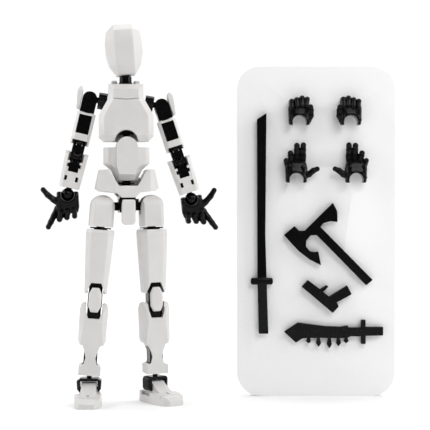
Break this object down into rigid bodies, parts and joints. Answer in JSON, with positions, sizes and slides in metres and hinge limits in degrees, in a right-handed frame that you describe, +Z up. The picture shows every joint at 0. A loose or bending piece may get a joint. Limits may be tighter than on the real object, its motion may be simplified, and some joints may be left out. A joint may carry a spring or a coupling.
{
  "type": "humanoid robot kit",
  "caption": "Jointed humanoid figure in white armour over a black frame, standing beside a card that holds spare hands and miniature weapons.",
  "frame": {"origin": "centre of the whole kit's footprint, on the surface it stands on", "axes": "+Z up, the figure and the card's front face -Y, and the figure's own left is towards +X"},
  "size_m": [0.1286, 0.0334, 0.1355],
  "materials": {
    "white_armour": "satin moulded plastic",
    "black_frame": "semi-gloss moulded plastic",
    "card": "matt pale grey sheet"
  },
  "bodies": {
    "pelvis": {"pelvis_belt": "white_armour", "pelvis_frame": "black_frame"},
    "loin_guard": {"loin_guard": "white_armour"},
    "waist_link": {"waist_link": "black_frame"},
    "waist": {"waist_shell": "white_armour"},
    "spine_link": {"chest_link": "black_frame"},
    "chest": {"chest_core": "black_frame", "chest_front": "white_armour", "chest_rear": "white_armour"},
    "neck": {"neck_link": "black_frame"},
    "head": {"head_shell": "white_armour"},
    "card": {"accessory_card": "card"},
    "left_clavicle": {"left_clavicle_link": "black_frame"},
    "left_shoulder": {"left_shoulder_block": "black_frame", "left_shoulder_cap": "white_armour"},
    "left_upper_arm": {"left_upper_arm_armor": "white_armour", "left_upper_arm_frame": "black_frame"},
    "left_elbow": {"left_elbow_link": "black_frame"},
    "left_forearm": {"left_forearm_armor": "white_armour", "left_forearm_frame": "black_frame"},
    "left_hand": {"left_hand": "black_frame"},
    "left_hip": {"left_hip_link": "black_frame"},
    "left_thigh": {"left_thigh_cover": "white_armour", "left_thigh_hub": "black_frame"},
    "left_lower_thigh": {"left_thigh_armor": "white_armour", "left_thigh_frame": "black_frame"},
    "left_knee": {"left_knee_link": "black_frame", "left_kneecap": "white_armour"},
    "left_shin": {"left_shin_armor": "white_armour", "left_shin_frame": "black_frame"},
    "left_ankle": {"left_ankle_link": "black_frame"},
    "left_foot": {"left_foot": "white_armour"},
    "right_clavicle": {"right_clavicle_link": "black_frame"},
    "right_shoulder": {"right_shoulder_block": "black_frame", "right_shoulder_cap": "white_armour"},
    "right_upper_arm": {"right_upper_arm_armor": "white_armour", "right_upper_arm_frame": "black_frame"},
    "right_elbow": {"right_elbow_link": "black_frame"},
    "right_forearm": {"right_forearm_armor": "white_armour", "right_forearm_frame": "black_frame"},
    "right_hand": {"right_hand": "black_frame"},
    "right_hip": {"right_hip_link": "black_frame"},
    "right_thigh": {"right_thigh_cover": "white_armour", "right_thigh_hub": "black_frame"},
    "right_lower_thigh": {"right_thigh_armor": "white_armour", "right_thigh_frame": "black_frame"},
    "right_knee": {"right_knee_link": "black_frame", "right_kneecap": "white_armour"},
    "right_shin": {"right_shin_armor": "white_armour", "right_shin_frame": "black_frame"},
    "right_ankle": {"right_ankle_link": "black_frame"},
    "right_foot": {"right_foot": "white_armour"},
    "axe": {"axe": "black_frame"},
    "katana": {"katana": "black_frame"},
    "pistol": {"pistol": "black_frame"},
    "saw_sword": {"saw_sword": "black_frame"},
    "spare_hand_grip_left": {"spare_hand_grip_left": "black_frame"},
    "spare_hand_grip_right": {"spare_hand_grip_right": "black_frame"},
    "spare_hand_open_left": {"spare_hand_open_left": "black_frame"},
    "spare_hand_open_right": {"spare_hand_open_right": "black_frame"}
  },
  "joints": [
    {"name": "axe_pull", "type": "slide", "parent": "card", "child": "axe", "axis": [0, -1, 0], "range_m": [0, 0.012]},
    {"name": "card_lift", "type": "slide", "parent": "pelvis", "child": "card", "axis": [0, 0, 1], "range_m": [0, 0.015]},
    {"name": "chest_lean", "type": "hinge", "parent": "spine_link", "child": "chest", "pos_m": [-0.03458, -0.00086, 0.098], "axis": [0.9945, 0.1045, 0.0092], "range_deg": [-10, 10]},
    {"name": "chest_tilt", "type": "hinge", "parent": "waist", "child": "spine_link", "pos_m": [-0.03452, -0.00085, 0.0913], "axis": [-0.1392, 0.9903, 0.0006], "range_deg": [-5, 12]},
    {"name": "guard_hinge", "type": "hinge", "parent": "pelvis", "child": "loin_guard", "pos_m": [-0.03333, -0.00561, 0.072], "axis": [-0.9781, -0.2079, -0.0092], "range_deg": [0, 60]},
    {"name": "head_turn", "type": "hinge", "parent": "neck", "child": "head", "pos_m": [-0.03477, -0.0009, 0.1195], "axis": [-0.087, -0.0101, 0.9962], "range_deg": [-60, 60]},
    {"name": "katana_pull", "type": "slide", "parent": "card", "child": "katana", "axis": [0, -1, 0], "range_m": [0, 0.012]},
    {"name": "left_ankle_pitch", "type": "hinge", "parent": "left_ankle", "child": "left_foot", "pos_m": [-0.02421, 0.00134, 0.0055], "axis": [0.788, 0.6157, 0], "range_deg": [-20, 20]},
    {"name": "left_ankle_roll", "type": "hinge", "parent": "left_shin", "child": "left_ankle", "pos_m": [-0.02421, 0.00134, 0.0113], "axis": [-0.6157, 0.788, 0], "range_deg": [-10, 10]},
    {"name": "left_arm_spread", "type": "hinge", "parent": "left_clavicle", "child": "left_shoulder", "pos_m": [-0.02193, 0.00046, 0.10642], "axis": [0.1045, -0.9945, -0.001], "range_deg": [-3, 55]},
    {"name": "left_arm_swing", "type": "hinge", "parent": "chest", "child": "left_clavicle", "pos_m": [-0.0294, -0.00033, 0.10765], "axis": [0.9815, 0.1033, -0.1612], "range_deg": [-150, 40]},
    {"name": "left_arm_swivel", "type": "hinge", "parent": "left_shoulder", "child": "left_upper_arm", "pos_m": [-0.02193, 0.00046, 0.10642], "axis": [-0.3076, -0.0333, 0.9509], "range_deg": [-80, 80]},
    {"name": "left_elbow_lower", "type": "hinge", "parent": "left_elbow", "child": "left_forearm", "pos_m": [-0.01541, 0.00116, 0.08626], "axis": [-0.9457, -0.0991, -0.3094], "range_deg": [0, 45]},
    {"name": "left_elbow_upper", "type": "hinge", "parent": "left_upper_arm", "child": "left_elbow", "pos_m": [-0.0171, 0.00098, 0.09149], "axis": [-0.9457, -0.0991, -0.3094], "range_deg": [0, 45]},
    {"name": "left_knee_lower", "type": "hinge", "parent": "left_knee", "child": "left_shin", "pos_m": [-0.02481, 0.00121, 0.03479], "axis": [0.9507, 0.3089, 0.026], "range_deg": [0, 45]},
    {"name": "left_knee_upper", "type": "hinge", "parent": "left_lower_thigh", "child": "left_knee", "pos_m": [-0.02495, 0.00118, 0.04019], "axis": [0.9507, 0.3089, 0.026], "range_deg": [0, 45]},
    {"name": "left_leg_spread", "type": "hinge", "parent": "left_hip", "child": "left_thigh", "pos_m": [-0.02572, 0.00102, 0.07048], "axis": [0.2079, -0.9781, 0], "range_deg": [-2, 22]},
    {"name": "left_leg_swing", "type": "hinge", "parent": "pelvis", "child": "left_hip", "pos_m": [-0.03433, -0.00081, 0.0704], "axis": [-0.9781, -0.2079, -0.0092], "range_deg": [-20, 80]},
    {"name": "left_thigh_swivel", "type": "hinge", "parent": "left_thigh", "child": "left_lower_thigh", "pos_m": [-0.02572, 0.00102, 0.07048], "axis": [0.0256, 0.0054, -0.9997], "range_deg": [-40, 20]},
    {"name": "left_wrist", "type": "hinge", "parent": "left_forearm", "child": "left_hand", "pos_m": [-0.01117, 0.00162, 0.07314], "axis": [-0.9808, -0.1029, -0.1655], "range_deg": [-20, 20]},
    {"name": "neck_nod", "type": "hinge", "parent": "chest", "child": "neck", "pos_m": [-0.03469, -0.00089, 0.1104], "axis": [0.9945, 0.1045, 0.0092], "range_deg": [-15, 15]},
    {"name": "pistol_pull", "type": "slide", "parent": "card", "child": "pistol", "axis": [0, -1, 0], "range_m": [0, 0.012]},
    {"name": "right_ankle_pitch", "type": "hinge", "parent": "right_ankle", "child": "right_foot", "pos_m": [-0.04748, -0.00361, 0.0055], "axis": [0.9994, 0.0349, 0], "range_deg": [-20, 20]},
    {"name": "right_ankle_roll", "type": "hinge", "parent": "right_shin", "child": "right_ankle", "pos_m": [-0.04748, -0.00361, 0.0113], "axis": [0.0349, -0.9994, 0], "range_deg": [-10, 10]},
    {"name": "right_arm_spread", "type": "hinge", "parent": "right_clavicle", "child": "right_shoulder", "pos_m": [-0.0474, -0.00222, 0.10877], "axis": [-0.1045, 0.9945, 0.001], "range_deg": [-3, 55]},
    {"name": "right_arm_swing", "type": "hinge", "parent": "chest", "child": "right_clavicle", "pos_m": [-0.03994, -0.00144, 0.10755], "axis": [0.9815, 0.1033, -0.1612], "range_deg": [-150, 40]},
    {"name": "right_arm_swivel", "type": "hinge", "parent": "right_shoulder", "child": "right_upper_arm", "pos_m": [-0.0474, -0.00222, 0.10877], "axis": [-0.2251, -0.0227, -0.9741], "range_deg": [-80, 80]},
    {"name": "right_elbow_lower", "type": "hinge", "parent": "right_elbow", "child": "right_forearm", "pos_m": [-0.05217, -0.0027, 0.08812], "axis": [-0.9687, -0.102, 0.2262], "range_deg": [0, 45]},
    {"name": "right_elbow_upper", "type": "hinge", "parent": "right_upper_arm", "child": "right_elbow", "pos_m": [-0.05093, -0.00258, 0.09348], "axis": [-0.9687, -0.102, 0.2262], "range_deg": [0, 45]},
    {"name": "right_knee_lower", "type": "hinge", "parent": "right_knee", "child": "right_shin", "pos_m": [-0.04568, -0.00322, 0.03473], "axis": [0.9915, 0.1039, -0.078], "range_deg": [0, 45]},
    {"name": "right_knee_upper", "type": "hinge", "parent": "right_lower_thigh", "child": "right_knee", "pos_m": [-0.04526, -0.00313, 0.04011], "axis": [0.9915, 0.1039, -0.078], "range_deg": [0, 45]},
    {"name": "right_leg_spread", "type": "hinge", "parent": "right_hip", "child": "right_thigh", "pos_m": [-0.04294, -0.00264, 0.07032], "axis": [-0.2079, 0.9781, 0], "range_deg": [-2, 22]},
    {"name": "right_leg_swing", "type": "hinge", "parent": "pelvis", "child": "right_hip", "pos_m": [-0.03433, -0.00081, 0.0704], "axis": [-0.9781, -0.2079, -0.0092], "range_deg": [-20, 80]},
    {"name": "right_thigh_swivel", "type": "hinge", "parent": "right_thigh", "child": "right_lower_thigh", "pos_m": [-0.04294, -0.00264, 0.07032], "axis": [0.0767, 0.0163, 0.9969], "range_deg": [-40, 20]},
    {"name": "right_wrist", "type": "hinge", "parent": "right_forearm", "child": "right_hand", "pos_m": [-0.05527, -0.00301, 0.07468], "axis": [-0.9945, -0.1045, -0.0092], "range_deg": [-20, 20]},
    {"name": "saw_sword_pull", "type": "slide", "parent": "card", "child": "saw_sword", "axis": [0, -1, 0], "range_m": [0, 0.012]},
    {"name": "spare_hand_grip_left_pull", "type": "slide", "parent": "card", "child": "spare_hand_grip_left", "axis": [0, -1, 0], "range_m": [0, 0.012]},
    {"name": "spare_hand_grip_right_pull", "type": "slide", "parent": "card", "child": "spare_hand_grip_right", "axis": [0, -1, 0], "range_m": [0, 0.012]},
    {"name": "spare_hand_open_left_pull", "type": "slide", "parent": "card", "child": "spare_hand_open_left", "axis": [0, -1, 0], "range_m": [0, 0.012]},
    {"name": "spare_hand_open_right_pull", "type": "slide", "parent": "card", "child": "spare_hand_open_right", "axis": [0, -1, 0], "range_m": [0, 0.012]},
    {"name": "waist_bend", "type": "hinge", "parent": "waist_link", "child": "waist", "pos_m": [-0.03444, -0.00083, 0.0823], "axis": [0.9902, 0.1392, 0.0092], "range_deg": [-9, 9]},
    {"name": "waist_twist", "type": "hinge", "parent": "pelvis", "child": "waist_link", "pos_m": [-0.03444, -0.00083, 0.0823], "axis": [-0.009, -0.0019, 1], "range_deg": [-15, 15]}
  ]
}
